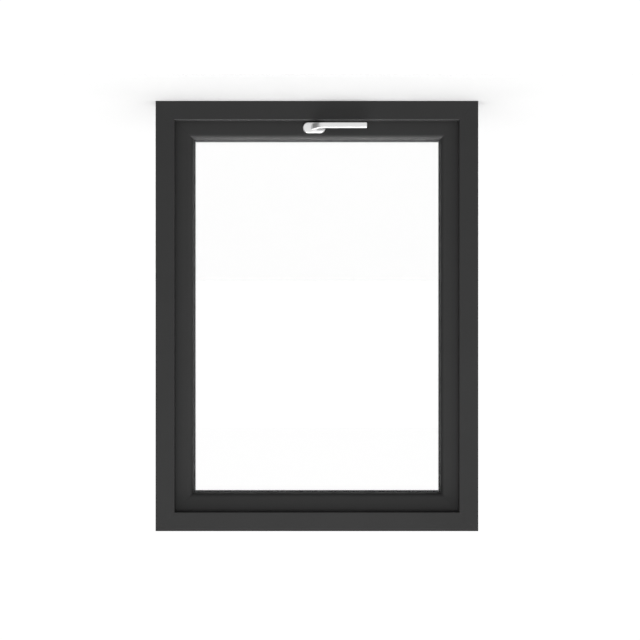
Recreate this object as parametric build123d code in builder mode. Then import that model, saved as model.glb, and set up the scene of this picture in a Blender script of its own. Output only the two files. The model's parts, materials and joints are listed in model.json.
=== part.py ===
from build123d import *
import os

# Bottom-hung window of welded plastic profiles, opening outward, with the handle on its top rail.
# Millimetres. X runs to the right as seen from the room, Y from the room to the outside, Z up.
# The origin is the middle of the frame's underside.
# A profile's section is drawn in two directions: across, from the frame's outer edge towards the
# daylight, and deep, from the frame's room face towards the outside.

# Frame
frame_width = 900.0
frame_height = 1200.0
frame_depth = 70.0
frame_face = 53.0
stop_depth = 21.0
profile_wall = 3.0
web = 2.0
stop_round = 2.5
edge_round = 1.2
wall_groove_width = 12.0
wall_groove_depth = 3.0
wall_groove_from_edge = 6.0
fixing_radius = 4.0
fixing_from_corner = 150.0
fixing_count = 3
cut_margin = 1.0

# Sash
stop_overlap = 8.0
hardware_gap = 12.0
flange_overlap = 8.0
stop_seal_gap = 3.0
flange_seal_gap = 4.0
sash_depth = 66.0
sash_visible = 49.5
lip_slope = 4.0
flange_round = 3.0
hardware_groove_width = 12.0
hardware_groove_depth = 9.0

# Glazing
bead_face = 15.5
bead_depth = 20.0
bead_round = 13.0
bead_tip_back = 1.0
bead_wall = 2.0
clip_nose = 4.0
clip_slope = 3.0
bead_seat_drop = 1.5
glass_thickness = 4.0
glass_edge_gap = 5.0
glazing_seal = 3.0
glazing_seal_height = 7.0
glazing_seal_bevel = 0.8
edge_seal_height = 4.5
block_length = 100.0
block_from_corner = 190.0

# Seals between frame and sash
stop_seal_height = 5.0
flange_seal_height = 5.0
seal_bevel = 1.4
seal_root_width = 2.5
stop_seal_root = 3.5
flange_seal_root = 2.0

# Handle
handle_offset = -7.5
rosette_length = 64.0
rosette_height = 31.0
rosette_depth = 10.0
rosette_bevel = 1.6
rosette_wall = 2.0
rosette_gap = 3.0
base_depth = 6.0
base_clearance = 0.3
handle_screw_spacing = 43.0
handle_screw_radius = 2.6
handle_pilot_radius = 2.0
journal_radius = 8.0
journal_clearance = 0.05
journal_lift = 0.3
cover_bore_clearance = 0.5
neck_gap = 0.6
lever_reach = 146.5
lever_height = 15.5
lever_thickness = 14.0
lever_front_round = 6.0
lever_back_bevel = 2.0
lever_tip_bevel = 3.0
lever_projection = 50.0
lever_bend = 20.0
spindle_side = 7.0
spindle_socket = 12.0
spindle_reach = 9.0
spindle_hole_radius = 6.0

# Hinges
hinge_from_corner = 170.0
hinge_length = 80.0
hinge_middle = 26.0
hinge_plate = 3.0
hinge_knuckle_radius = 6.5
hinge_pin_radius = 3.0
hinge_pin_clearance = 0.05
hinge_pin_end = 1.5
hinge_gap = 0.3
hinge_axis_height = 14.0
hinge_frame_leaf_low = 3.0
hinge_sash_leaf_height = 34.0
hinge_leaf_round = 5.0

# Drainage
drain_from_corner = 300.0
drain_height = 12.5
drain_slot_length = 26.0
drain_slot_height = 5.0
drain_cap_length = 42.0
drain_cap_height = 14.0
drain_cap_depth = 5.0
drain_cap_slope = 4.0
drain_cap_wall = 1.2

# Places that follow from the sizes above
room_face = -frame_depth / 2
outside_face = frame_depth / 2
sash_edge = frame_face - stop_overlap
rebate_floor = sash_edge - hardware_gap
flange_edge = rebate_floor - flange_overlap
sash_room = stop_depth + stop_seal_gap
sash_outside = sash_room + sash_depth
flange_room = frame_depth + flange_seal_gap
sightline = frame_face + sash_visible
bead_joint = sightline - bead_face
glazing_floor = bead_joint - bead_seat_drop
glass_edge = glazing_floor + glass_edge_gap
spacer_edge = glass_edge + edge_seal_height
bead_outside = sash_room + bead_depth
inner_pane_room = bead_outside + glazing_seal
cavity_room = inner_pane_room + glass_thickness
outer_seal_room = flange_room - glazing_seal
outer_pane_room = outer_seal_room - glass_thickness
stop_seal_across = frame_face - stop_overlap / 2
flange_seal_across = rebate_floor - flange_overlap / 2
first_chamber = wall_groove_depth + profile_wall
sash_face = room_face + sash_room
sash_back = room_face + sash_outside
fixing_place = room_face + (stop_depth + frame_depth - profile_wall) / 2
fixing_pitch = (frame_height - 2 * fixing_from_corner) / (fixing_count - 1)
handle_height = frame_height - frame_face - rosette_gap - rosette_height / 2
lever_centre = sash_face - lever_projection + lever_thickness / 2
hinge_axis_place = sash_back + hinge_plate - hinge_knuckle_radius

# The four sides: the plane that a section is drawn on, with its corner at the frame's own, and the length
sides = {
    "left": (
        Plane((-frame_width / 2, room_face, 0), x_dir=(1, 0, 0), z_dir=(0, 0, 1)),
        frame_height,
    ),
    "right": (
        Plane((frame_width / 2, room_face, frame_height), x_dir=(-1, 0, 0), z_dir=(0, 0, -1)),
        frame_height,
    ),
    "bottom": (
        Plane((frame_width / 2, room_face, 0), x_dir=(0, 0, 1), z_dir=(-1, 0, 0)),
        frame_width,
    ),
    "top": (
        Plane((-frame_width / 2, room_face, frame_height), x_dir=(0, 0, -1), z_dir=(1, 0, 0)),
        frame_width,
    ),
}

os.makedirs("parts", exist_ok=True)


def save(piece, name):
    piece.part.label = name
    export_step(piece.part, f"parts/{name}.step")


def mirrored(distance):
    """The two places that lie one each side of the middle."""
    return (-distance, distance)


def band(across, deep, mode=Mode.ADD):
    """Put a rectangle into the open section, or take it out, from its two pairs of limits."""
    with Locations(((across[0] + across[1]) / 2, (deep[0] + deep[1]) / 2)):
        Rectangle(across[1] - across[0], deep[1] - deep[0], mode=mode)


def around(centre, width):
    """The two limits of a width about its middle."""
    return (centre - width / 2, centre + width / 2)


def chamber_rows(deep_low, deep_high, count):
    """Split a depth into equal chambers with a web between each two."""
    pitch = (deep_high - deep_low + web) / count
    starts = [deep_low + index * pitch for index in range(count)]
    return [(start, start + pitch - web) for start in starts]


def round_corner(across, deep, radius):
    """Round the open section's corner at one point."""
    fillet(vertices().sort_by_distance((across, deep))[0], radius)


def make_bar(section, side, cut=None):
    """Draw a section out along one side, with both ends cut at 45 degrees, so that four bars close a ring."""
    plane, length = sides[side]
    far_corner = plane.origin + plane.z_dir * length
    with BuildPart() as bar:
        with BuildSketch(plane):
            add(section.sketch)
        extrude(amount=length)
        split(bisect_by=Plane(plane.origin, z_dir=plane.z_dir - plane.x_dir), keep=Keep.TOP)
        split(bisect_by=Plane(far_corner, z_dir=-plane.z_dir - plane.x_dir), keep=Keep.TOP)
        if cut:
            cut()
    return bar


def save_bars(section, names, cuts):
    """Save a ring's four bars as four pieces, each with its own cuts."""
    for side, name in names.items():
        save(make_bar(section, side, cuts.get(side)), name)


def save_ring(section, name):
    """Join a ring's four bars at their corners, and save it as one piece."""
    bars = [make_bar(section, side) for side in sides]
    with BuildPart() as ring:
        add([bar.part for bar in bars])
    save(ring, name)


# Section of the frame: a stop towards the room, then the rebate that the sash closes into
with BuildSketch() as frame_section:
    with BuildLine():
        Polyline(
            (0, 0),
            (frame_face, 0),
            (frame_face, stop_depth),
            (rebate_floor, stop_depth),
            (rebate_floor, frame_depth),
            (0, frame_depth),
            close=True,
        )
    make_face()
    round_corner(frame_face, 0, stop_round)
    round_corner(0, 0, edge_round)
    round_corner(0, frame_depth, edge_round)
    round_corner(rebate_floor, frame_depth, edge_round)
    for groove in (wall_groove_from_edge, frame_depth - wall_groove_from_edge - wall_groove_width):
        band((0, wall_groove_depth), (groove, groove + wall_groove_width), Mode.SUBTRACT)
    chamber_end = rebate_floor - profile_wall
    stop_chamber_back = stop_depth - stop_seal_root - profile_wall
    band((first_chamber, chamber_end), (profile_wall, stop_depth - web), Mode.SUBTRACT)
    band((chamber_end + web, frame_face - profile_wall), (profile_wall, stop_chamber_back), Mode.SUBTRACT)
    for row in chamber_rows(stop_depth, frame_depth - profile_wall, 3):
        band((first_chamber, chamber_end), row, Mode.SUBTRACT)
    band(around(stop_seal_across, seal_root_width), (stop_depth - stop_seal_root, stop_depth), Mode.SUBTRACT)

# Section of the sash: a body inside the rebate, and a flange that covers the frame from outside
with BuildSketch() as sash_section:
    with BuildLine():
        Polyline(
            (sash_edge, sash_room),
            (bead_joint, sash_room),
            (bead_joint, sash_room + clip_nose),
            (glazing_floor, sash_room + clip_nose + clip_slope),
            (glazing_floor, flange_room),
            (sightline, flange_room),
            (sightline - lip_slope, sash_outside),
            (flange_edge, sash_outside),
            (flange_edge, flange_room),
            (sash_edge, flange_room),
            close=True,
        )
    make_face()
    round_corner(sash_edge, sash_room, edge_round)
    round_corner(sightline - lip_slope, sash_outside, flange_round)
    round_corner(flange_edge, sash_outside, flange_round)
    groove_middle = (sash_room + flange_room) / 2
    groove_end = sash_edge + hardware_groove_depth
    band((sash_edge, groove_end), around(groove_middle, hardware_groove_width), Mode.SUBTRACT)
    for row in chamber_rows(sash_room + profile_wall, flange_room - profile_wall, 3):
        chamber_start = groove_end if row[0] < groove_middle < row[1] else sash_edge
        band((chamber_start + profile_wall, glazing_floor - profile_wall), row, Mode.SUBTRACT)
    flange_low = flange_edge + profile_wall
    flange_high = sightline - lip_slope - profile_wall
    for row in chamber_rows(flange_low, flange_high, 2):
        band(row, (flange_room + profile_wall, sash_outside - profile_wall), Mode.SUBTRACT)
    band(around(flange_seal_across, seal_root_width), (flange_room, flange_room + flange_seal_root), Mode.SUBTRACT)

# Section of the glazing bead: a hollow quarter round, hooked behind the sash's clip nose
with BuildSketch() as bead_section:
    round_end = (sightline - bead_tip_back, sash_room + bead_round)
    round_start = (sightline - bead_tip_back - bead_round, sash_room)
    with BuildLine():
        Polyline(
            round_start,
            (bead_joint, sash_room),
            (bead_joint, sash_room + clip_nose),
            (glazing_floor, sash_room + clip_nose + clip_slope),
            (glazing_floor, bead_outside),
            (sightline, bead_outside),
            round_end,
        )
        RadiusArc(round_end, round_start, bead_round)
    make_face()
    offset(amount=-bead_wall, kind=Kind.INTERSECTION, mode=Mode.SUBTRACT)


# Cuts in single bars
def drill_fixings():
    """Bore a jamb for the screws that hold the frame to the wall."""
    for index in range(fixing_count):
        height = fixing_from_corner + index * fixing_pitch
        with Locations(Plane((0, fixing_place, height), z_dir=(1, 0, 0))):
            Cylinder(fixing_radius, frame_width + 2 * cut_margin, mode=Mode.SUBTRACT)


def cut_drains():
    """Slot the sill's outside wall to let water out."""
    for x in mirrored(frame_width / 2 - drain_from_corner):
        with Locations((x, outside_face - profile_wall / 2, drain_height)):
            Box(drain_slot_length, profile_wall + cut_margin, drain_slot_height, mode=Mode.SUBTRACT)


def bore_for_handle():
    """Bore the top rail's room wall for the handle's spindle and its two screws."""
    holes = [(0, spindle_hole_radius)]
    holes += [(x, handle_pilot_radius) for x in mirrored(handle_screw_spacing / 2)]
    for x, radius in holes:
        wall_middle = (handle_offset + x, sash_face + profile_wall / 2, handle_height)
        with Locations(Plane(wall_middle, z_dir=(0, 1, 0))):
            Cylinder(radius, profile_wall + cut_margin, mode=Mode.SUBTRACT)


save_bars(
    frame_section,
    {"left": "frame_jamb_left", "right": "frame_jamb_right", "bottom": "frame_sill", "top": "frame_head"},
    {"left": drill_fixings, "right": drill_fixings, "bottom": cut_drains},
)
save_bars(
    sash_section,
    {"left": "sash_stile_left", "right": "sash_stile_right", "bottom": "sash_bottom_rail", "top": "sash_top_rail"},
    {"top": bore_for_handle},
)
save_bars(
    bead_section,
    {"left": "bead_left", "right": "bead_right", "bottom": "bead_bottom", "top": "bead_top"},
    {},
)

# Seal between the frame's stop and the sash, with its root in the stop's groove
with BuildSketch() as stop_seal_section:
    band(around(stop_seal_across, stop_seal_height), (stop_depth, sash_room))
    chamfer(vertices().group_by(Axis.Y)[-1], seal_bevel)
    band(around(stop_seal_across, seal_root_width), (stop_depth - stop_seal_root, stop_depth))
save_ring(stop_seal_section, "stop_seal")

# Seal between the frame's outside face and the sash's flange, with its root in the flange's groove
with BuildSketch() as flange_seal_section:
    band(around(flange_seal_across, flange_seal_height), (frame_depth, flange_room))
    chamfer(vertices().group_by(Axis.Y)[0], seal_bevel)
    band(around(flange_seal_across, seal_root_width), (flange_room, flange_room + flange_seal_root))
save_ring(flange_seal_section, "flange_seal")

# Seals on both faces of the double glazing, flush with the sightline
for seal_name, seal_deep in (("glazing_seal_inner", bead_outside), ("glazing_seal_outer", outer_seal_room)):
    seal_faces = (seal_deep, seal_deep + glazing_seal)
    with BuildSketch() as glazing_seal_section:
        band((sightline - glazing_seal_height, sightline), seal_faces)
        chamfer(vertices().group_by(Axis.X)[-1], glazing_seal_bevel)
    save_ring(glazing_seal_section, seal_name)

# Edge of the double glazing: the spacer bar up to the sightline, and the sealant behind it
with BuildSketch() as spacer_section:
    band((spacer_edge, sightline), (cavity_room, outer_pane_room))
save_ring(spacer_section, "glass_spacer")

with BuildSketch() as edge_seal_section:
    band((glass_edge, spacer_edge), (cavity_room, outer_pane_room))
save_ring(edge_seal_section, "glass_edge_seal")

# Glass panes
for pane_name, pane_room in (("glass_pane_inner", inner_pane_room), ("glass_pane_outer", outer_pane_room)):
    pane_plane = Plane((0, room_face + pane_room, frame_height / 2), x_dir=(1, 0, 0), z_dir=(0, 1, 0))
    with BuildPart() as pane:
        with BuildSketch(pane_plane):
            Rectangle(frame_width - 2 * glass_edge, frame_height - 2 * glass_edge)
        extrude(amount=glass_thickness)
    save(pane, pane_name)

# Blocks under the glass, which carry its weight to the bottom rail
with BuildPart() as setting_blocks:
    block_plane = Plane.XZ.offset(-room_face - inner_pane_room)
    with BuildSketch(block_plane):
        for block_x in mirrored(frame_width / 2 - block_from_corner):
            band(around(block_x, block_length), (glazing_floor, glass_edge))
    extrude(amount=inner_pane_room - outer_seal_room)
save(setting_blocks, "setting_blocks")

# Handle: a screwed base, the cover over it, and a lever that turns in the base with its spindle.
# The handle's plane lies on the sash's face and looks into the room.
handle_plane = Plane((handle_offset, sash_face, handle_height), x_dir=(1, 0, 0), z_dir=(0, -1, 0))

with BuildPart() as handle_cover:
    with BuildSketch(handle_plane):
        SlotOverall(rosette_length, rosette_height)
    extrude(amount=rosette_depth)
    chamfer(faces().sort_by(Axis.Y)[0].edges(), rosette_bevel)
    with BuildSketch(handle_plane):
        SlotOverall(rosette_length - 2 * rosette_wall, rosette_height - 2 * rosette_wall)
    extrude(amount=rosette_depth - rosette_wall, mode=Mode.SUBTRACT)
    with BuildSketch(handle_plane):
        Circle(journal_radius + cover_bore_clearance)
    extrude(amount=rosette_depth, mode=Mode.SUBTRACT)
save(handle_cover, "handle_cover")

with BuildPart() as handle_base:
    base_inset = rosette_wall + base_clearance
    with BuildSketch(handle_plane):
        SlotOverall(rosette_length - 2 * base_inset, rosette_height - 2 * base_inset)
        Circle(journal_radius + journal_clearance, mode=Mode.SUBTRACT)
        with Locations(*[(x, 0) for x in mirrored(handle_screw_spacing / 2)]):
            Circle(handle_screw_radius, mode=Mode.SUBTRACT)
    extrude(amount=base_depth)
save(handle_base, "handle_base")

with BuildPart() as handle_lever:
    neck_start = sash_face - rosette_depth - neck_gap
    with BuildLine(Plane.XY.offset(handle_height)):
        FilletPolyline(
            (handle_offset, neck_start),
            (handle_offset, lever_centre),
            (handle_offset + lever_reach, lever_centre),
            radius=lever_bend,
        )
    with BuildSketch(Plane((handle_offset, neck_start, handle_height), x_dir=(1, 0, 0), z_dir=(0, -1, 0))):
        Rectangle(lever_thickness, lever_height)
        fillet(vertices().group_by(Axis.X)[0], lever_front_round)
        chamfer(vertices().group_by(Axis.X)[-1], lever_back_bevel)
    sweep()
    chamfer(faces().sort_by(Axis.X)[-1].edges(), lever_tip_bevel)
    with BuildSketch(handle_plane.offset(journal_lift)):
        Circle(journal_radius)
    extrude(amount=rosette_depth + neck_gap - journal_lift)
    with BuildSketch(handle_plane.offset(journal_lift)):
        Rectangle(spindle_side, spindle_side)
    extrude(amount=spindle_socket, mode=Mode.SUBTRACT)
save(handle_lever, "handle_lever")

with BuildPart() as handle_spindle:
    with BuildSketch(handle_plane.offset(-spindle_reach)):
        Rectangle(spindle_side, spindle_side)
    extrude(amount=spindle_reach + journal_lift + spindle_socket)
save(handle_spindle, "handle_spindle")

# Hinges, on the outside at the foot of the sash. Their sections are drawn in Y and Z.
hinge_axis = (hinge_axis_place, hinge_axis_height)
arm_low = hinge_axis_height - hinge_knuckle_radius
frame_plate = (outside_face, outside_face + hinge_plate)
sash_plate = (sash_back, sash_back + hinge_plate)
sash_leaf_top = flange_edge + hinge_sash_leaf_height

with BuildSketch() as frame_plate_section:
    band(frame_plate, (hinge_frame_leaf_low, flange_edge - hinge_gap))

with BuildSketch() as frame_knuckle_section:
    band((outside_face, hinge_axis_place), (arm_low, arm_low + hinge_plate))
    with Locations(hinge_axis):
        Circle(hinge_knuckle_radius)

with BuildSketch() as sash_plate_section:
    band(sash_plate, (flange_edge + hinge_gap, sash_leaf_top))

with BuildSketch() as sash_knuckle_section:
    band(sash_plate, (hinge_axis_height, flange_edge + hinge_gap + hinge_leaf_round))
    with Locations(hinge_axis):
        Circle(hinge_knuckle_radius)


def run_along(section, x_low, x_high):
    """Draw a hinge's section out from one X to another."""
    with BuildSketch(Plane.YZ.offset(x_low)) as placed:
        add(section.sketch)
    extrude(placed.sketch, amount=x_high - x_low)


def round_bar(radius, x_low, x_high, mode=Mode.ADD):
    """Put a round bar on the hinge's axis, or take it out."""
    with BuildSketch(Plane.YZ.offset(x_low)) as disc:
        with Locations(hinge_axis):
            Circle(radius)
    extrude(disc.sketch, amount=x_high - x_low, mode=mode)


hinge_from_middle = frame_width / 2 - hinge_from_corner
for hinge_name, hinge_x in (("hinge_left", -hinge_from_middle), ("hinge_right", hinge_from_middle)):
    low, high = around(hinge_x, hinge_length)
    middle_low, middle_high = around(hinge_x, hinge_middle)

    with BuildPart() as frame_leaf:
        run_along(frame_plate_section, low, high)
        fillet(edges().filter_by(Axis.Y).group_by(Axis.Z)[0], hinge_leaf_round)
        run_along(frame_knuckle_section, low, middle_low - hinge_gap)
        run_along(frame_knuckle_section, middle_high + hinge_gap, high)
        round_bar(hinge_pin_radius + hinge_pin_clearance, low, high, Mode.SUBTRACT)
    save(frame_leaf, f"{hinge_name}_frame_leaf")

    with BuildPart() as sash_leaf:
        run_along(sash_plate_section, low, high)
        fillet(edges().filter_by(Axis.Y), hinge_leaf_round)
        run_along(sash_knuckle_section, middle_low, middle_high)
        round_bar(hinge_pin_radius + hinge_pin_clearance, middle_low, middle_high, Mode.SUBTRACT)
    save(sash_leaf, f"{hinge_name}_sash_leaf")

    with BuildPart() as pin:
        round_bar(hinge_pin_radius, low - hinge_pin_end, high + hinge_pin_end)
    save(pin, f"{hinge_name}_pin")


# Caps over the drain slots, on the sill's outside face: a sloped hood, open at its foot
def hood_outline(inset):
    """The hood's section in Y and Z, shrunk by its wall where it is hollow."""
    foot, top = around(drain_height, drain_cap_height)
    front = outside_face + drain_cap_depth - inset
    shoulder = top - inset - drain_cap_slope
    return [(outside_face, foot), (front, foot), (front, shoulder), (outside_face, top - inset)]


with BuildPart() as drain_caps:
    for cap_x in mirrored(frame_width / 2 - drain_from_corner):
        for inset, mode in ((0, Mode.ADD), (drain_cap_wall, Mode.SUBTRACT)):
            cap_low, cap_high = around(cap_x, drain_cap_length - 2 * inset)
            with BuildSketch(Plane.YZ.offset(cap_low)):
                with BuildLine():
                    Polyline(*hood_outline(inset), close=True)
                make_face()
            extrude(amount=cap_high - cap_low, mode=mode)
save(drain_caps, "drain_caps")
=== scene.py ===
import json
import math

import bmesh
import bpy
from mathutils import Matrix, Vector


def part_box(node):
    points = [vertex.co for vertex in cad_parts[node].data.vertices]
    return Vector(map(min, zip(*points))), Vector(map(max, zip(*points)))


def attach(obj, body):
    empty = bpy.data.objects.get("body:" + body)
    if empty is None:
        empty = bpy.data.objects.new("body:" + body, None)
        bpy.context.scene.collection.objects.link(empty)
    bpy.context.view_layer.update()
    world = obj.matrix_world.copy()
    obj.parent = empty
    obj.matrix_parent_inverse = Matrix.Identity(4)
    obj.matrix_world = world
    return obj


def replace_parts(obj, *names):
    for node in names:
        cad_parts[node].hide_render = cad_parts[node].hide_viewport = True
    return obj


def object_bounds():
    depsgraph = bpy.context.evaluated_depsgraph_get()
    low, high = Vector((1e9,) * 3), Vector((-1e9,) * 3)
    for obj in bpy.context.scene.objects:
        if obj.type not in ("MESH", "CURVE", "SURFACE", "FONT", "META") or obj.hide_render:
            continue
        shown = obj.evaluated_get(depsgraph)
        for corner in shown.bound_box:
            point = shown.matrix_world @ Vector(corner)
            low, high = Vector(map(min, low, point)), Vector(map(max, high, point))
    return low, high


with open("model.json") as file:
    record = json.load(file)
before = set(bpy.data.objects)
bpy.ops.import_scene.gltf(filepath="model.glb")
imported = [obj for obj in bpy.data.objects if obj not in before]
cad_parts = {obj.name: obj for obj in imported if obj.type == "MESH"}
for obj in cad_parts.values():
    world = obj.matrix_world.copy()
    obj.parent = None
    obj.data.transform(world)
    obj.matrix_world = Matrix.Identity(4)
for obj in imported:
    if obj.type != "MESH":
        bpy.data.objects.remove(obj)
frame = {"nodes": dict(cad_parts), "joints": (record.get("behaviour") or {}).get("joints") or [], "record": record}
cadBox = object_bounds()
nodes = frame["nodes"]
handleAxis = Vector(frame["joints"][0]["pos_m"])
mm = 0.001                      # the dictionaries hold sizes in mm, but for the studio's and the camera's
sharpAngle = math.radians(35)   # edges that turn by more stay sharp
xAxis, yAxis, zAxis = range(3)
print("frame loaded:", len(nodes), "nodes")


# Turns an sRGB hex value to a linear colour.
def linearColour(hexColour):
    channels = [int(hexColour[place:place + 2], 16) / 255 for place in (1, 3, 5)]
    return [c / 12.92 if c <= 0.04045 else ((c + 0.055) / 1.055) ** 2.4 for c in channels] + [1.0]


# Adds one node. Settings are the node's own. Inputs go by name or number, and hold a value or the output
# of another node. A Mix has its factor at 0, its numbers at 2 and 3 and its colours at 6 and 7. A Map Range
# has its value at 0, the limits of that at 1 and 2, and what they turn to at 3 and 4.
def addNode(tree, kind, inputs, **settings):
    node = tree.nodes.new(kind)
    for name, value in settings.items():
        setattr(node, name, value)
    for name, value in inputs.items():
        if isinstance(value, bpy.types.NodeSocket):
            tree.links.new(value, node.inputs[name])
        else:
            node.inputs[name].default_value = value
    return node


# A new material and its empty node tree.
def startMaterial(name):
    material = bpy.data.materials.new(name)
    material.use_nodes = True
    material.node_tree.nodes.clear()
    return material, material.node_tree


# Faint lines that a die, a brush or a lathe leaves: spacing across them and length along them, in mm.
def drawnLines(tree, place, along, spacing, length):
    scale = [1 / (spacing * mm)] * 3
    scale[along] = 1 / (length * mm)
    stretched = addNode(tree, "ShaderNodeVectorMath", {0: place, 1: scale}, operation="MULTIPLY")
    lines = addNode(
        tree, "ShaderNodeTexNoise", {"Vector": stretched.outputs[0], "Scale": 1.0, "Detail": 2.0},
    )
    return lines.outputs["Fac"]


# Plastic profiles
profile = {
    "colour": "#1F1F1F",
    "paleColour": "#242424",
    "roughness": (0.55, 0.63),
    "specular": 0.22,
    "ior": 1.53,
    "grain": 0.9,           # mm across; the real foil's 0.35 mm would not show
    "grainHeight": 0.03,
    "dieLine": 2.4,
    "dieLineLength": 600.0,
    "dieLineHeight": 0.02,
    "cloud": 80.0,
    "weldWidth": 0.6,
    "weldDepth": 0.2,
}


# uPVC, extruded and covered with a matt embossed foil: a nearly black grey with a soft sheen, a pebbled
# grain and faint lines along the bar. The bars are welded, which leaves a hairline at each mitre.
def foiledPvc(name, along):
    material, tree = startMaterial(name)
    place = addNode(tree, "ShaderNodeTexCoord", {}).outputs["Object"]
    grain = addNode(tree, "ShaderNodeTexVoronoi", {"Vector": place, "Scale": 1 / (profile["grain"] * mm)})
    cloud = addNode(
        tree, "ShaderNodeTexNoise", {"Vector": place, "Scale": 1 / (profile["cloud"] * mm), "Detail": 3.0},
    )
    dieLines = drawnLines(tree, place, along, profile["dieLine"], profile["dieLineLength"])

    # how far a point is from the nearest mitre: its distance to the frame's side less that to its end
    halfWidth, halfHeight = cadBox[1].x, cadBox[1].z / 2
    axes = addNode(tree, "ShaderNodeSeparateXYZ", {0: place})
    offCentre = addNode(tree, "ShaderNodeMath", {0: axes.outputs[0]}, operation="ABSOLUTE")
    above = addNode(tree, "ShaderNodeMath", {0: axes.outputs[2], 1: halfHeight}, operation="SUBTRACT")
    above = addNode(tree, "ShaderNodeMath", {0: above.outputs[0]}, operation="ABSOLUTE")
    apart = addNode(
        tree, "ShaderNodeMath", {0: offCentre.outputs[0], 1: above.outputs[0]}, operation="SUBTRACT",
    )
    weld = addNode(
        tree, "ShaderNodeMath",
        {0: apart.outputs[0], 1: halfWidth - halfHeight, 2: profile["weldWidth"] * mm},
        operation="COMPARE",
    )

    tone = addNode(tree, "ShaderNodeMix", {
        0: cloud.outputs["Fac"],
        6: linearColour(profile["colour"]),
        7: linearColour(profile["paleColour"]),
    }, data_type="RGBA")
    roughness = addNode(
        tree, "ShaderNodeMapRange",
        {0: cloud.outputs["Fac"], 3: profile["roughness"][0], 4: profile["roughness"][1]},
    )
    height = addNode(
        tree, "ShaderNodeMath", {0: grain.outputs["Distance"], 1: profile["grainHeight"]},
        operation="MULTIPLY",
    )
    height = addNode(
        tree, "ShaderNodeMath", {0: dieLines, 1: profile["dieLineHeight"], 2: height.outputs[0]},
        operation="MULTIPLY_ADD",
    )
    height = addNode(
        tree, "ShaderNodeMath", {0: weld.outputs[0], 1: -profile["weldDepth"], 2: height.outputs[0]},
        operation="MULTIPLY_ADD",
    )
    bump = addNode(tree, "ShaderNodeBump", {"Height": height.outputs[0], "Distance": mm})
    surface = addNode(tree, "ShaderNodeBsdfPrincipled", {
        "Base Color": tone.outputs[2],
        "Roughness": roughness.outputs[0],
        "Specular IOR Level": profile["specular"],
        "IOR": profile["ior"],
        "Normal": bump.outputs[0],
    })
    addNode(tree, "ShaderNodeOutputMaterial", {"Surface": surface.outputs[0]})
    return material


uprightPvc = foiledPvc("foiledPvcUpright", zAxis)
levelPvc = foiledPvc("foiledPvcLevel", xAxis)

# Glass, spacer and seals
glass = {
    "straightOn": 0.04,     # share that one face mirrors straight on
    "slantPower": 5.0,      # how late that share grows with the slant
}


# Clear float glass: polished, without tint, with mirror reflections that grow towards a slanting view. It
# is drawn without bending light, as a flat pane looks.
def clearFloatGlass():
    material, tree = startMaterial("clearFloatGlass")
    slant = addNode(tree, "ShaderNodeLayerWeight", {"Blend": 0.5}).outputs["Facing"]
    slant = addNode(tree, "ShaderNodeMath", {0: slant, 1: glass["slantPower"]}, operation="POWER")
    mirrored = addNode(tree, "ShaderNodeMapRange", {0: slant.outputs[0], 3: glass["straightOn"], 4: 1.0})
    through = addNode(tree, "ShaderNodeBsdfTransparent", {})
    shine = addNode(tree, "ShaderNodeBsdfGlossy", {"Roughness": 0.0})
    surface = addNode(
        tree, "ShaderNodeMixShader", {0: mirrored.outputs[0], 1: through.outputs[0], 2: shine.outputs[0]},
    )
    addNode(tree, "ShaderNodeOutputMaterial", {"Surface": surface.outputs[0]})
    return material


# A plain coloured skin with a soft bloom. The skin's and the bloom's sizes are in mm.
def plainSkin(name, spec):
    material, tree = startMaterial(name)
    place = addNode(tree, "ShaderNodeTexCoord", {}).outputs["Object"]
    skin = addNode(
        tree, "ShaderNodeTexNoise", {"Vector": place, "Scale": 1 / (spec["skin"] * mm), "Detail": 3.0},
    )
    bloom = addNode(
        tree, "ShaderNodeTexNoise", {"Vector": place, "Scale": 1 / (spec["bloom"] * mm), "Detail": 4.0},
    )
    tone = addNode(tree, "ShaderNodeMix", {
        0: bloom.outputs["Fac"],
        6: linearColour(spec["colour"]),
        7: linearColour(spec["bloomColour"]),
    }, data_type="RGBA")
    roughness = addNode(
        tree, "ShaderNodeMapRange",
        {0: bloom.outputs["Fac"], 3: spec["roughness"][0], 4: spec["roughness"][1]},
    )
    bump = addNode(
        tree, "ShaderNodeBump", {"Height": skin.outputs["Fac"], "Distance": spec["skinHeight"] * mm},
    )
    surface = addNode(tree, "ShaderNodeBsdfPrincipled", {
        "Base Color": tone.outputs[2],
        "Roughness": roughness.outputs[0],
        "Specular IOR Level": spec["specular"],
        "IOR": spec["ior"],
        "Normal": bump.outputs[0],
    })
    addNode(tree, "ShaderNodeOutputMaterial", {"Surface": surface.outputs[0]})
    return material


# EPDM rubber, extruded: black with a dull skin and a slight grey bloom.
rubber = {
    "colour": "#1A1A1A",
    "bloomColour": "#242424",
    "roughness": (0.75, 0.88),
    "specular": 0.05,
    "ior": 1.52,
    "skin": 0.6,
    "skinHeight": 0.03,
    "bloom": 18.0,
}

# Polysulphide sealant, pumped in round the glass's edge and wiped flat: black and dull, with soft ripples.
sealant = {
    "colour": "#121212",
    "bloomColour": "#191919",
    "roughness": (0.6, 0.75),
    "specular": 0.2,
    "ior": 1.52,
    "skin": 3.0,
    "skinHeight": 0.2,
    "bloom": 30.0,
}

# Polypropylene blocks, moulded: dark blue, with a fine even skin.
blockPlastic = {
    "colour": "#2C3E66",
    "bloomColour": "#33466F",
    "roughness": (0.5, 0.6),
    "specular": 0.4,
    "ior": 1.52,
    "skin": 1.2,
    "skinHeight": 0.05,
    "bloom": 25.0,
}

# ASA caps, moulded to match the foil: nearly black grey, with a spark-eroded skin.
capPlastic = {
    "colour": "#262727",
    "bloomColour": "#2B2C2C",
    "roughness": (0.48, 0.6),
    "specular": 0.25,
    "ior": 1.52,
    "skin": 0.8,
    "skinHeight": 0.04,
    "bloom": 30.0,
}

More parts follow.
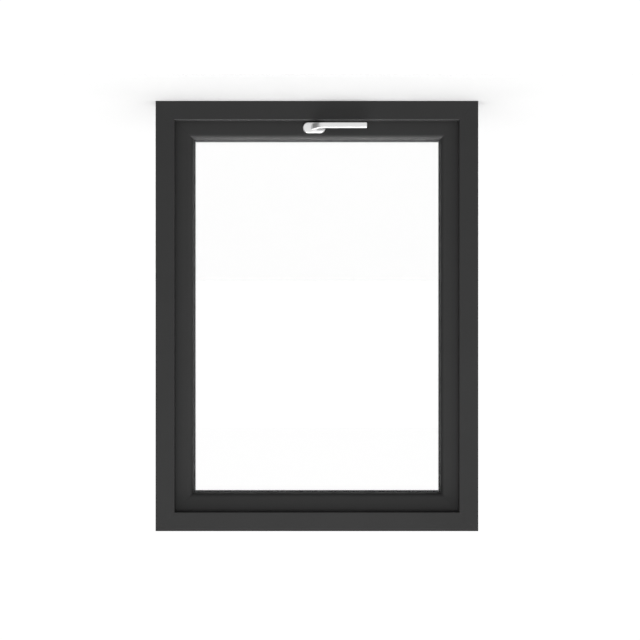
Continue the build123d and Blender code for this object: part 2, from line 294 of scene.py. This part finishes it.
spacer = {
    "colour": "#3C3D3F",
    "holeColour": "#101010",
    "roughness": 0.8,
    "specular": 0.02,
    "pitch": 4.0,           # mm; the real 1.5 mm would not show
    "holeWidth": 0.5,
    "holeDepth": 0.3,
}


# Warm-edge spacer of plastic and foil, extruded: dark, even and matt, with pricks over its drying beads.
def warmEdgeSpacer():
    material, tree = startMaterial("warmEdgeSpacer")
    place = addNode(tree, "ShaderNodeTexCoord", {}).outputs["Object"]
    pricks = addNode(
        tree, "ShaderNodeTexVoronoi",
        {"Vector": place, "Scale": 1 / (spacer["pitch"] * mm), "Randomness": 0.0},
    )
    hole = addNode(
        tree, "ShaderNodeMath", {0: pricks.outputs["Distance"], 1: spacer["holeWidth"] / spacer["pitch"]},
        operation="LESS_THAN",
    )
    tone = addNode(tree, "ShaderNodeMix", {
        0: hole.outputs[0],
        6: linearColour(spacer["colour"]),
        7: linearColour(spacer["holeColour"]),
    }, data_type="RGBA")
    bump = addNode(
        tree, "ShaderNodeBump", {"Height": hole.outputs[0], "Distance": spacer["holeDepth"] * mm},
        invert=True,
    )
    surface = addNode(tree, "ShaderNodeBsdfPrincipled", {
        "Base Color": tone.outputs[2],
        "Roughness": spacer["roughness"],
        "Specular IOR Level": spacer["specular"],
        "Normal": bump.outputs[0],
    })
    addNode(tree, "ShaderNodeOutputMaterial", {"Surface": surface.outputs[0]})
    return material


# Metals
anodised = {
    "colour": "#D8D8D8",
    "metallic": 0.8,        # the oxide layer scatters the rest
    "roughness": (0.25, 0.33),
    "brushLine": 0.35,      # mm; the real 0.05 mm would not show
    "brushLength": 14.0,
    "brushHeight": 0.004,
}


# Aluminium, die cast, brushed along its length and anodised: pale silver with a soft, drawn-out shine.
def satinAnodisedAluminium():
    material, tree = startMaterial("satinAnodisedAluminium")
    place = addNode(tree, "ShaderNodeTexCoord", {}).outputs["Object"]
    brushed = drawnLines(tree, place, xAxis, anodised["brushLine"], anodised["brushLength"])
    roughness = addNode(
        tree, "ShaderNodeMapRange", {0: brushed, 3: anodised["roughness"][0], 4: anodised["roughness"][1]},
    )
    bump = addNode(tree, "ShaderNodeBump", {"Height": brushed, "Distance": anodised["brushHeight"] * mm})
    surface = addNode(tree, "ShaderNodeBsdfPrincipled", {
        "Base Color": linearColour(anodised["colour"]),
        "Metallic": anodised["metallic"],
        "Roughness": roughness.outputs[0],
        "Normal": bump.outputs[0],
    })
    addNode(tree, "ShaderNodeOutputMaterial", {"Surface": surface.outputs[0]})
    return material


coating = {
    "colour": "#282929",
    "paleColour": "#2F3030",
    "roughness": (0.36, 0.48),
    "specular": 0.35,
    "ior": 1.5,
    "peel": 1.6,            # mm across one dimple of the orange peel
    "peelHeight": 0.02,
}


# Steel with a sprayed and baked powder coat: dark grey, satin, with the fine orange peel of such a coat.
def powderCoatedSteel():
    material, tree = startMaterial("powderCoatedSteel")
    place = addNode(tree, "ShaderNodeTexCoord", {}).outputs["Object"]
    peel = addNode(
        tree, "ShaderNodeTexNoise", {"Vector": place, "Scale": 1 / (coating["peel"] * mm), "Detail": 1.0},
    )
    tone = addNode(tree, "ShaderNodeMix", {
        0: peel.outputs["Fac"],
        6: linearColour(coating["colour"]),
        7: linearColour(coating["paleColour"]),
    }, data_type="RGBA")
    roughness = addNode(
        tree, "ShaderNodeMapRange",
        {0: peel.outputs["Fac"], 3: coating["roughness"][0], 4: coating["roughness"][1]},
    )
    bump = addNode(
        tree, "ShaderNodeBump", {"Height": peel.outputs["Fac"], "Distance": coating["peelHeight"] * mm},
    )
    surface = addNode(tree, "ShaderNodeBsdfPrincipled", {
        "Base Color": tone.outputs[2],
        "Roughness": roughness.outputs[0],
        "Specular IOR Level": coating["specular"],
        "IOR": coating["ior"],
        "Normal": bump.outputs[0],
    })
    addNode(tree, "ShaderNodeOutputMaterial", {"Surface": surface.outputs[0]})
    return material


zinc = {
    "colour": "#A9ABAA",
    "shadeColour": "#8C8F90",
    "roughness": (0.28, 0.42),
    "patch": 9.0,
    "turnedLine": 0.4,
    "turnedLength": 6.0,
    "turnedHeight": 0.006,
}


# Steel, turned or stamped, then zinc plated: a cool grey shine with slightly uneven patches.
def zincPlatedSteel():
    material, tree = startMaterial("zincPlatedSteel")
    place = addNode(tree, "ShaderNodeTexCoord", {}).outputs["Object"]
    patches = addNode(
        tree, "ShaderNodeTexNoise", {"Vector": place, "Scale": 1 / (zinc["patch"] * mm), "Detail": 3.0},
    )
    turned = drawnLines(tree, place, yAxis, zinc["turnedLine"], zinc["turnedLength"])
    tone = addNode(tree, "ShaderNodeMix", {
        0: patches.outputs["Fac"],
        6: linearColour(zinc["colour"]),
        7: linearColour(zinc["shadeColour"]),
    }, data_type="RGBA")
    roughness = addNode(
        tree, "ShaderNodeMapRange",
        {0: patches.outputs["Fac"], 3: zinc["roughness"][0], 4: zinc["roughness"][1]},
    )
    bump = addNode(tree, "ShaderNodeBump", {"Height": turned, "Distance": zinc["turnedHeight"] * mm})
    surface = addNode(tree, "ShaderNodeBsdfPrincipled", {
        "Base Color": tone.outputs[2],
        "Metallic": 1.0,
        "Roughness": roughness.outputs[0],
        "Normal": bump.outputs[0],
    })
    addNode(tree, "ShaderNodeOutputMaterial", {"Surface": surface.outputs[0]})
    return material


handleMetal = satinAnodisedAluminium()
coatedMetal = powderCoatedSteel()
platedMetal = zincPlatedSteel()
finishes = {
    "float_glass": clearFloatGlass(),
    "seal_rubber": plainSkin("epdmRubber", rubber),
    "edge_sealant": plainSkin("polysulphideSealant", sealant),
    "spacer_bar": warmEdgeSpacer(),
    "block_plastic": plainSkin("mouldedPolypropylene", blockPlastic),
    "cap_plastic": plainSkin("mouldedAsa", capPlastic),
    "handle_metal": handleMetal,
    "base_metal": platedMetal,
    "spindle_steel": platedMetal,
    "hinge_metal": coatedMetal,
    "pin_steel": platedMetal,
}

for part in frame["record"]["subparts"]:
    low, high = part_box(part["node"])
    pvc = uprightPvc if high.z - low.z > high.x - low.x else levelPvc
    for slot in nodes[part["node"]].material_slots:
        slot.material = finishes.get(part["material_slot"], pvc)
print("materials made:", len(bpy.data.materials))


# Joins rings of equal count by a skin of quads, and closes its ends.
def addSkin(mesh, rings, closeEnds=True):
    loops = [[mesh.verts.new(point) for point in ring] for ring in rings]
    for first, second in zip(loops, loops[1:]):
        for here in range(len(first)):
            there = (here + 1) % len(first)
            mesh.faces.new((first[here], first[there], second[there], second[here]))
    if closeEnds:
        mesh.faces.new(list(reversed(loops[0])))
        mesh.faces.new(loops[-1])


# Makes a piece from a mesh: smooth, but for its sharp edges, with its metal and body.
def finishPiece(name, mesh, metal, body):
    bmesh.ops.recalc_face_normals(mesh, faces=mesh.faces)
    for face in mesh.faces:
        face.smooth = True
    for edge in mesh.edges:
        edge.smooth = len(edge.link_faces) < 2 or edge.calc_face_angle() < sharpAngle
    data = bpy.data.meshes.new(name)
    mesh.to_mesh(data)
    mesh.free()
    piece = bpy.data.objects.new(name, data)
    bpy.context.scene.collection.objects.link(piece)
    data.materials.append(metal)
    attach(piece, body)
    return piece


# Points round a circle that lies across one direction of the frame.
def circleRing(centre, radius, first, second, steps):
    turns = [math.radians(360 * (step + 0.5) / steps) for step in range(steps)]
    return [
        centre + first * (radius * math.cos(turn)) + second * (radius * math.sin(turn))
        for turn in turns
    ]


right, inward, up = Vector((1, 0, 0)), Vector((0, -1, 0)), Vector((0, 0, 1))

# Handle
lever = {
    "height": 14.2,
    "thickness": 14.0,
    "frontRound": 1.2,      # of its edges towards the room
    "backRound": 1.4,
    "leastRound": 0.3,
    "bend": 28.0,           # radius of the bend at its middle line
    "tipRound": 3.0,
    "neckGap": 0.6,         # between the neck and the cover
    "neckEdge": 0.5,
    "journalEdge": 0.4,
    "journalToNeck": 0.1,   # from its last ring in sight to the neck
    "journalInNeck": 1.0,
    "cornerSteps": 10,
    "bendSteps": 28,
    "tipSteps": 8,
    "journalSteps": 64,
}


# One ring of the lever. Across points to the inside of its bend, which is the back of its bar.
def leverRing(centre, across, inset):
    halfThickness = lever["thickness"] / 2 - inset
    halfHeight = lever["height"] / 2 - inset
    ring = []
    for corner in range(4):
        atBack = corner in (0, 3)
        radius = max(lever["backRound" if atBack else "frontRound"] - inset, lever["leastRound"])
        cornerAcross = (halfThickness - radius) * (1 if atBack else -1)
        cornerUp = (halfHeight - radius) * (1 if corner in (0, 1) else -1)
        for step in range(lever["cornerSteps"] + 1):
            angle = math.radians(90 * (corner + step / lever["cornerSteps"]))
            sideways = cornerAcross + radius * math.cos(angle)
            upwards = cornerUp + radius * math.sin(angle)
            ring.append(centre + across * (sideways * mm) + up * (upwards * mm))
    return ring


# A bar with small rounds along its edges, bent out of its neck, and the round journal that it turns on.
def makeLever():
    low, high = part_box("handle_lever")
    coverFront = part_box("handle_cover")[0].y
    bend = lever["bend"] * mm
    barY = low.y + lever["thickness"] / 2 * mm
    neckStart = Vector((handleAxis.x, coverFront - lever["neckGap"] * mm, handleAxis.z))
    rings = [
        leverRing(neckStart, right, lever["neckEdge"]),
        leverRing(neckStart + inward * (lever["neckEdge"] * mm), right, 0.0),
    ]
    for step in range(lever["bendSteps"] + 1):
        angle = math.radians(90 * step / lever["bendSteps"])
        turned = Vector((bend - bend * math.cos(angle), bend - bend * math.sin(angle), 0))
        across = Vector((math.cos(angle), math.sin(angle), 0))
        rings.append(leverRing(Vector((handleAxis.x, barY, handleAxis.z)) + turned, across, 0.0))
    tip = lever["tipRound"]
    for step in range(lever["tipSteps"] + 1):
        angle = math.radians(90 * step / lever["tipSteps"])
        centre = Vector((high.x - tip * (1 - math.sin(angle)) * mm, barY, handleAxis.z))
        rings.append(leverRing(centre, -inward, tip * (1 - math.cos(angle))))
    mesh = bmesh.new()
    addSkin(mesh, rings)
    bar = finishPiece("lever_bar", mesh, handleMetal, "handle")
    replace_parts(bar, "handle_lever")

    journalRadius = handleAxis.x - low.x
    edge = lever["journalEdge"] * mm
    stations = [
        (high.y, edge),
        (high.y - edge, 0.0),
        (neckStart.y + lever["journalToNeck"] * mm, 0.0),
        (neckStart.y - lever["journalInNeck"] * mm, 0.0),
    ]
    rings = []
    for y, inset in stations:
        centre = Vector((handleAxis.x, y, handleAxis.z))
        rings.append(circleRing(centre, journalRadius - inset, right, up, lever["journalSteps"]))
    mesh = bmesh.new()
    addSkin(mesh, rings)
    finishPiece("lever_journal", mesh, handleMetal, "handle")


cover = {
    "edgeRound": 1.5,
    "draft": 0.9,           # mm that the sides lean in towards the room
    "shadowGap": 0.3,       # between the cover and the sash
    "gapInset": 0.8,
    "wallEdgeInset": 0.1,
    "wallEdgeDepth": 0.4,
    "boreGap": 0.5,         # between the cover and the lever's journal
    "boreEdge": 0.5,
    "boreRim": 0.6,
    "boreFromBack": 3.0,
    "crown": 0.25,
    "flatInset": 10.0,
    "flatDrop": 0.05,
    "steps": 96,
    "roundSteps": 8,
    "boreSteps": 4,
}


# The rosette: a cap with round ends, a rounded edge and a slight crown, and a bore for the journal.
def makeCover():
    low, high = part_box("handle_cover")
    centre = (low + high) / 2
    radius = (high.z - low.z) / 2
    straight = (high.x - low.x) / 2 - radius
    bore = handleAxis.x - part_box("handle_lever")[0].x + cover["boreGap"] * mm

    def slotRing(inset, y):
        ring = circleRing(Vector((centre.x, y, centre.z)), radius - inset, right, up, cover["steps"])
        return [point + right * math.copysign(straight, point.x - centre.x) for point in ring]

    def boreRing(inset, y):
        return circleRing(Vector((centre.x, y, centre.z)), bore + inset, right, up, cover["steps"])

    edge, draft, crown = cover["edgeRound"] * mm, cover["draft"] * mm, cover["crown"] * mm
    wall = high.y - cover["shadowGap"] * mm
    gapInset = cover["gapInset"] * mm
    rings = [
        slotRing(gapInset, high.y),
        slotRing(gapInset, wall),
        slotRing(cover["wallEdgeInset"] * mm, wall),
        slotRing(0.0, wall - cover["wallEdgeDepth"] * mm),
    ]
    for step in range(cover["roundSteps"] + 1):
        angle = math.radians(90 * step / cover["roundSteps"])
        inset = draft + edge * (1 - math.cos(angle))
        rings.append(slotRing(inset, low.y + crown + edge * (1 - math.sin(angle))))
    rings.append(slotRing(cover["flatInset"] * mm, low.y + cover["flatDrop"] * mm))
    boreEdge = cover["boreEdge"] * mm
    rings.append(boreRing(boreEdge + cover["boreRim"] * mm, low.y))
    for step in range(cover["boreSteps"] + 1):
        angle = math.radians(90 * step / cover["boreSteps"])
        rings.append(boreRing(boreEdge * (1 - math.sin(angle)), low.y + boreEdge * (1 - math.cos(angle))))
    rings.append(boreRing(0.0, high.y - cover["boreFromBack"] * mm))
    mesh = bmesh.new()
    addSkin(mesh, rings, closeEnds=False)
    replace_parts(finishPiece("rosette", mesh, handleMetal, "window"), "handle_cover")


makeLever()
makeCover()
print("handle made")

# Seals along the glass
gasket = {
    "height": 7.0,
    "innerLip": 0.8,        # that the lip stands into the daylight
    "outerLip": 1.3,
    "lipThickness": 0.9,
    "heelRound": 0.8,
    "roundSteps": 5,
    "joinWithin": 0.01,
}


# A wedge gasket with a thin round lip that lies against the glass, mitred at the corners.
def makeGasket(node, lip, glassSide):
    low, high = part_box(node)
    glassY, backY = (high.y, low.y) if glassSide == "outside" else (low.y, high.y)
    outward = math.copysign(1.0, backY - glassY)
    width = gasket["height"] * mm
    thickness = abs(high.y - low.y)
    reach = width + lip * mm
    lipRound = gasket["lipThickness"] * mm / 2
    heel = gasket["heelRound"] * mm
    section = [(0.0, 0.0)]
    for step in range(gasket["roundSteps"] + 1):
        angle = math.radians(180 * step / gasket["roundSteps"] - 90)
        section.append((
            reach - lipRound + lipRound * math.cos(angle),
            lipRound + lipRound * math.sin(angle),
        ))
    for step in range(gasket["roundSteps"] + 1):
        angle = math.radians(90 * step / gasket["roundSteps"])
        section.append((
            width - heel + heel * math.cos(angle),
            thickness - heel + heel * math.sin(angle),
        ))
    section.append((0.0, thickness))
    centre = (low + high) / 2
    halfWidth, halfHeight = (high.x - low.x) / 2, (high.z - low.z) / 2
    rings = []
    for sideways, upwards in ((-1, -1), (1, -1), (1, 1), (-1, 1)):
        rings.append([
            Vector((
                centre.x + sideways * (halfWidth - across),
                glassY + outward * away,
                centre.z + upwards * (halfHeight - across),
            ))
            for across, away in section
        ])
    mesh = bmesh.new()
    addSkin(mesh, rings + rings[:1], closeEnds=False)
    bmesh.ops.remove_doubles(mesh, verts=mesh.verts, dist=gasket["joinWithin"] * mm)
    piece = finishPiece(node + "_lipped", mesh, finishes["seal_rubber"], "window")
    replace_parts(piece, node)


makeGasket("glazing_seal_inner", gasket["innerLip"], "outside")
makeGasket("glazing_seal_outer", gasket["outerLip"], "room")
print("glazing seals made")

# Screws in the hinges' sash leaves
screw = {
    "headRadius": 4.2,
    "crown": 0.5,
    "recess": 4.2,          # across the cross recess
    "recessSlot": 1.1,
    "recessDepth": 1.2,
    "recessFlank": 0.25,    # across its sloping sides
    "recessEnd": 0.5,       # and its sloping ends
    "rimDepth": 0.8,
    "fromTop": 13.0,
    "places": (-28.0, 0.0, 28.0),
    "firstTwist": 0.4,      # radians that the first one's cross is turned by
    "twistStep": 1.1,
    "turns": 72,
    "rings": 18,
    "middle": 0.2,          # size of the innermost ring, in steps between rings
}


# A countersunk head with a cross recess, flush in a leaf and looking away from the room.
def addScrewHead(mesh, centre, twist):
    radius = screw["headRadius"]
    reach = screw["recess"] / 2
    rings = []
    for ring in range(screw["rings"] + 1):
        size = radius * (ring + screw["middle"]) / (screw["rings"] + screw["middle"])
        dome = screw["crown"] * (1 - (size / radius) ** 2)
        row = []
        for turn in range(screw["turns"]):
            angle = math.radians(360 * turn / screw["turns"])
            x, z = size * math.cos(angle), size * math.sin(angle)
            alongSlot = abs(x * math.cos(twist) + z * math.sin(twist))
            acrossSlot = abs(z * math.cos(twist) - x * math.sin(twist))
            side = (screw["recessSlot"] / 2 - min(alongSlot, acrossSlot)) / screw["recessFlank"]
            end = (reach - max(alongSlot, acrossSlot)) / screw["recessEnd"]
            sunk = min(max(side, 0.0), 1.0) * min(max(end, 0.0), 1.0) * screw["recessDepth"]
            row.append(centre + Vector((x, dome - sunk, z)) * mm)
        rings.append(row)
    rings.append([Vector((point.x, centre.y - screw["rimDepth"] * mm, point.z)) for point in rings[-1]])
    addSkin(mesh, rings)


# A row of screws that holds one hinge's leaf to the sash.
def makeHingeScrews(side):
    low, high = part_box(f"hinge_{side}_sash_leaf")
    mesh = bmesh.new()
    for count, offset in enumerate(screw["places"]):
        place = Vector(((low.x + high.x) / 2 + offset * mm, high.y, high.z - screw["fromTop"] * mm))
        addScrewHead(mesh, place, screw["firstTwist"] + screw["twistStep"] * count)
    finishPiece(f"hinge_{side}_screws", mesh, platedMetal, "window")


pin = {
    "headRadius": 4.2,
    "headLength": 1.3,
    "headRound": 0.9,
    "steps": 48,
    "roundSteps": 6,
}


# The hinge's pin, with a domed head at each end outside the knuckles.
def makePin(side):
    low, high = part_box(f"hinge_{side}_pin")
    middle = (low + high) / 2
    radius = (high.z - low.z) / 2
    headRound = pin["headRound"] * mm
    turned = []
    for step in range(pin["roundSteps"] + 1):
        angle = math.radians(90 * step / pin["roundSteps"])
        turned.append((
            low.x + headRound * (1 - math.cos(angle)),
            pin["headRadius"] * mm - headRound * (1 - math.sin(angle)),
        ))
    headEnd = low.x + pin["headLength"] * mm
    turned += [(headEnd, pin["headRadius"] * mm), (headEnd, radius)]
    mirroredEnd = [(low.x + high.x - x, size) for x, size in reversed(turned)]
    mesh = bmesh.new()
    addSkin(mesh, [
        circleRing(Vector((x, middle.y, middle.z)), size, inward, up, pin["steps"])
        for x, size in turned + mirroredEnd
    ])
    piece = finishPiece(f"hinge_{side}_pin_turned", mesh, platedMetal, "window")
    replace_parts(piece, f"hinge_{side}_pin")


for side in ("left", "right"):
    makeHingeScrews(side)
    makePin(side)
print("hinge screws and pins made")

# Floor and light, in metres. The window is set as in a wall, with its foot some way above the floor.
studio = {
    "sheetColour": "#E6E6E6",
    "white": 1.05,           # a little over 1, for what the glass takes from it
    "floorDrop": 0.9,
    "floorSize": 24.0,
    "floorShare": 0.2,
    "floorGlow": 1.26,
    "aboveGap": 0.2,         # mm between the window's head and the sheet above
    "aboveFront": -0.3685,   # that sheet ends here, in front of the window
    "aboveBack": 14.0,
    "aboveHalfWidth": 9.0,
    "aboveShare": 0.22,      # of its white that comes from the light on it
    "aboveGlow": 0.385,
    "ambientBelow": 0.95,
    "ambientAbove": 0.05,
    "ambientFade": 0.6,      # slope above the horizon at which the light has faded
    "leftGloss": 0.03,
    "leftFlag": (-0.5, -0.93),
    "topGloss": 0.4,
    "topFlag": (0.3, 0.95),
    "keyStrength": 10.0,
    "keyElevation": 88.0,    # degrees below the window that the key light comes from, behind it
    "keyAngle": 70.0,
    "fillPower": 15.0,
    "fillSize": 1.2,
    "fillPlace": (0.0, -1.4, 0.15),
    "fillAim": (0.0, 0.0, 0.5),
}


# 1 for what the camera sees, whether straight, through glass or mirrored.
def sightOf(tree, path):
    seen = addNode(
        tree, "ShaderNodeMath", {0: path.outputs["Is Camera Ray"], 1: path.outputs["Is Glossy Ray"]},
        operation="ADD",
    )
    return addNode(
        tree, "ShaderNodeMath", {0: seen.outputs[0], 1: path.outputs["Is Transmission Ray"]},
        operation="ADD", use_clamp=True,
    ).outputs[0]


# White for the camera, and soft from below and all round as light. Its gloss is darker to the left and
# above, as beside a studio's black flags, which gives the bent metal its dark edge.
def makeWorld():
    world = bpy.data.worlds.new("whiteStudio")
    world.use_nodes = True
    tree = world.node_tree
    tree.nodes.clear()
    path = addNode(tree, "ShaderNodeLightPath", {})
    direction = addNode(tree, "ShaderNodeTexCoord", {}).outputs["Generated"]
    axes = addNode(tree, "ShaderNodeSeparateXYZ", {0: direction})
    ambient = addNode(tree, "ShaderNodeMapRange", {
        0: axes.outputs[2],
        2: studio["ambientFade"],
        3: studio["ambientBelow"],
        4: studio["ambientAbove"],
    }, interpolation_type="SMOOTHSTEP")
    flags = []
    for slope, flag, darkest in (
        (axes.outputs[0], studio["leftFlag"], studio["leftGloss"]),
        (axes.outputs[2], studio["topFlag"], studio["topGloss"]),
    ):
        flags.append(addNode(
            tree, "ShaderNodeMapRange", {0: slope, 1: flag[0], 2: flag[1], 3: 1.0, 4: darkest},
            interpolation_type="SMOOTHSTEP",
        ).outputs[0])
    flagged = addNode(tree, "ShaderNodeMath", {0: flags[0], 1: flags[1]}, operation="MULTIPLY")
    gloss = addNode(
        tree, "ShaderNodeMix",
        {0: path.outputs["Is Glossy Ray"], 2: studio["white"], 3: flagged.outputs[0]},
        data_type="FLOAT",
    )
    strength = addNode(
        tree, "ShaderNodeMix", {0: sightOf(tree, path), 2: ambient.outputs[0], 3: gloss.outputs[0]},
        data_type="FLOAT",
    )
    light = addNode(tree, "ShaderNodeBackground", {"Color": (1, 1, 1, 1), "Strength": strength.outputs[0]})
    addNode(tree, "ShaderNodeOutputWorld", {"Surface": light.outputs[0]})
    bpy.context.scene.world = world


# A pale matt sheet that also glows, so that it is white where nothing shades it. A one-sided one is clear
# from behind.
def makeSheet(name, corners, z, share, glowStrength, oneSided):
    material, tree = startMaterial(name)
    matt = addNode(tree, "ShaderNodeBsdfDiffuse", {"Color": linearColour(studio["sheetColour"])})
    path = addNode(tree, "ShaderNodeLightPath", {})
    strength = addNode(
        tree, "ShaderNodeMath", {0: sightOf(tree, path), 1: glowStrength}, operation="MULTIPLY",
    )
    glow = addNode(tree, "ShaderNodeEmission", {"Strength": strength.outputs[0]})
    surface = addNode(tree, "ShaderNodeMixShader", {0: share, 1: glow.outputs[0], 2: matt.outputs[0]})
    if oneSided:
        back = addNode(tree, "ShaderNodeNewGeometry", {}).outputs["Backfacing"]
        clear = addNode(tree, "ShaderNodeBsdfTransparent", {})
        surface = addNode(
            tree, "ShaderNodeMixShader", {0: back, 1: surface.outputs[0], 2: clear.outputs[0]},
        )
    addNode(tree, "ShaderNodeOutputMaterial", {"Surface": surface.outputs[0]})
    data = bpy.data.meshes.new(name)
    data.from_pydata([(x, y, z) for x, y in corners], [], [(0, 1, 2, 3)])
    sheet = bpy.data.objects.new(name, data)
    bpy.context.scene.collection.objects.link(sheet)
    data.materials.append(material)
    # it is there for the camera, and neither shades nor lights the window
    sheet.visible_shadow = False
    sheet.visible_diffuse = False
    sheet.visible_glossy = False


def makeLamp(name, kind, direction, place=(0, 0, 0), mirrored=True, **settings):
    data = bpy.data.lights.new(name, kind)
    for key, value in settings.items():
        setattr(data, key, value)
    lamp = bpy.data.objects.new(name, data)
    lamp.location = place
    lamp.rotation_mode = "QUATERNION"
    lamp.rotation_quaternion = Vector(direction).to_track_quat("-Z", "Y")
    lamp.visible_camera = False
    lamp.visible_glossy = mirrored
    bpy.context.scene.collection.objects.link(lamp)


makeWorld()
half = studio["floorSize"] / 2
makeSheet(
    "palePlainFloor", [(-half, -half), (half, -half), (half, half), (-half, half)],
    cadBox[0].z - studio["floorDrop"], studio["floorShare"], studio["floorGlow"], oneSided=False,
)
front, back, reach = studio["aboveFront"], studio["aboveBack"], studio["aboveHalfWidth"]
makeSheet(
    "paleSheetAbove", [(-reach, back), (reach, back), (reach, front), (-reach, front)],
    cadBox[1].z + studio["aboveGap"] * mm, studio["aboveShare"], studio["aboveGlow"], oneSided=True,
)
keyDown = math.radians(studio["keyElevation"])
makeLamp(
    "keyFromBelow", "SUN", (0, -math.cos(keyDown), math.sin(keyDown)),
    energy=studio["keyStrength"], angle=math.radians(studio["keyAngle"]),
)
fillDirection = Vector(studio["fillAim"]) - Vector(studio["fillPlace"])
makeLamp(
    "softFill", "AREA", fillDirection, studio["fillPlace"], mirrored=False,
    energy=studio["fillPower"], shape="DISK", size=studio["fillSize"],
)

# Camera, level and straight in front, in metres
view = {
    "place": (0.0086, -3.085, 0.589),
    "seenWidth": 1.7843,    # across the picture, at the frame's room face
    "sensor": 36.0,         # mm
}
cameraData = bpy.data.cameras.new("photoCamera")
camera = bpy.data.objects.new("photoCamera", cameraData)
camera.location = view["place"]
camera.rotation_euler = (math.radians(90), 0, 0)
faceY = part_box("frame_sill")[0].y
cameraData.sensor_width = view["sensor"]
cameraData.lens = view["sensor"] * (faceY - view["place"][1]) / view["seenWidth"]
bpy.context.scene.collection.objects.link(camera)
bpy.context.scene.camera = camera
bpy.context.scene.view_settings.view_transform = "Standard"
print("studio and camera made")
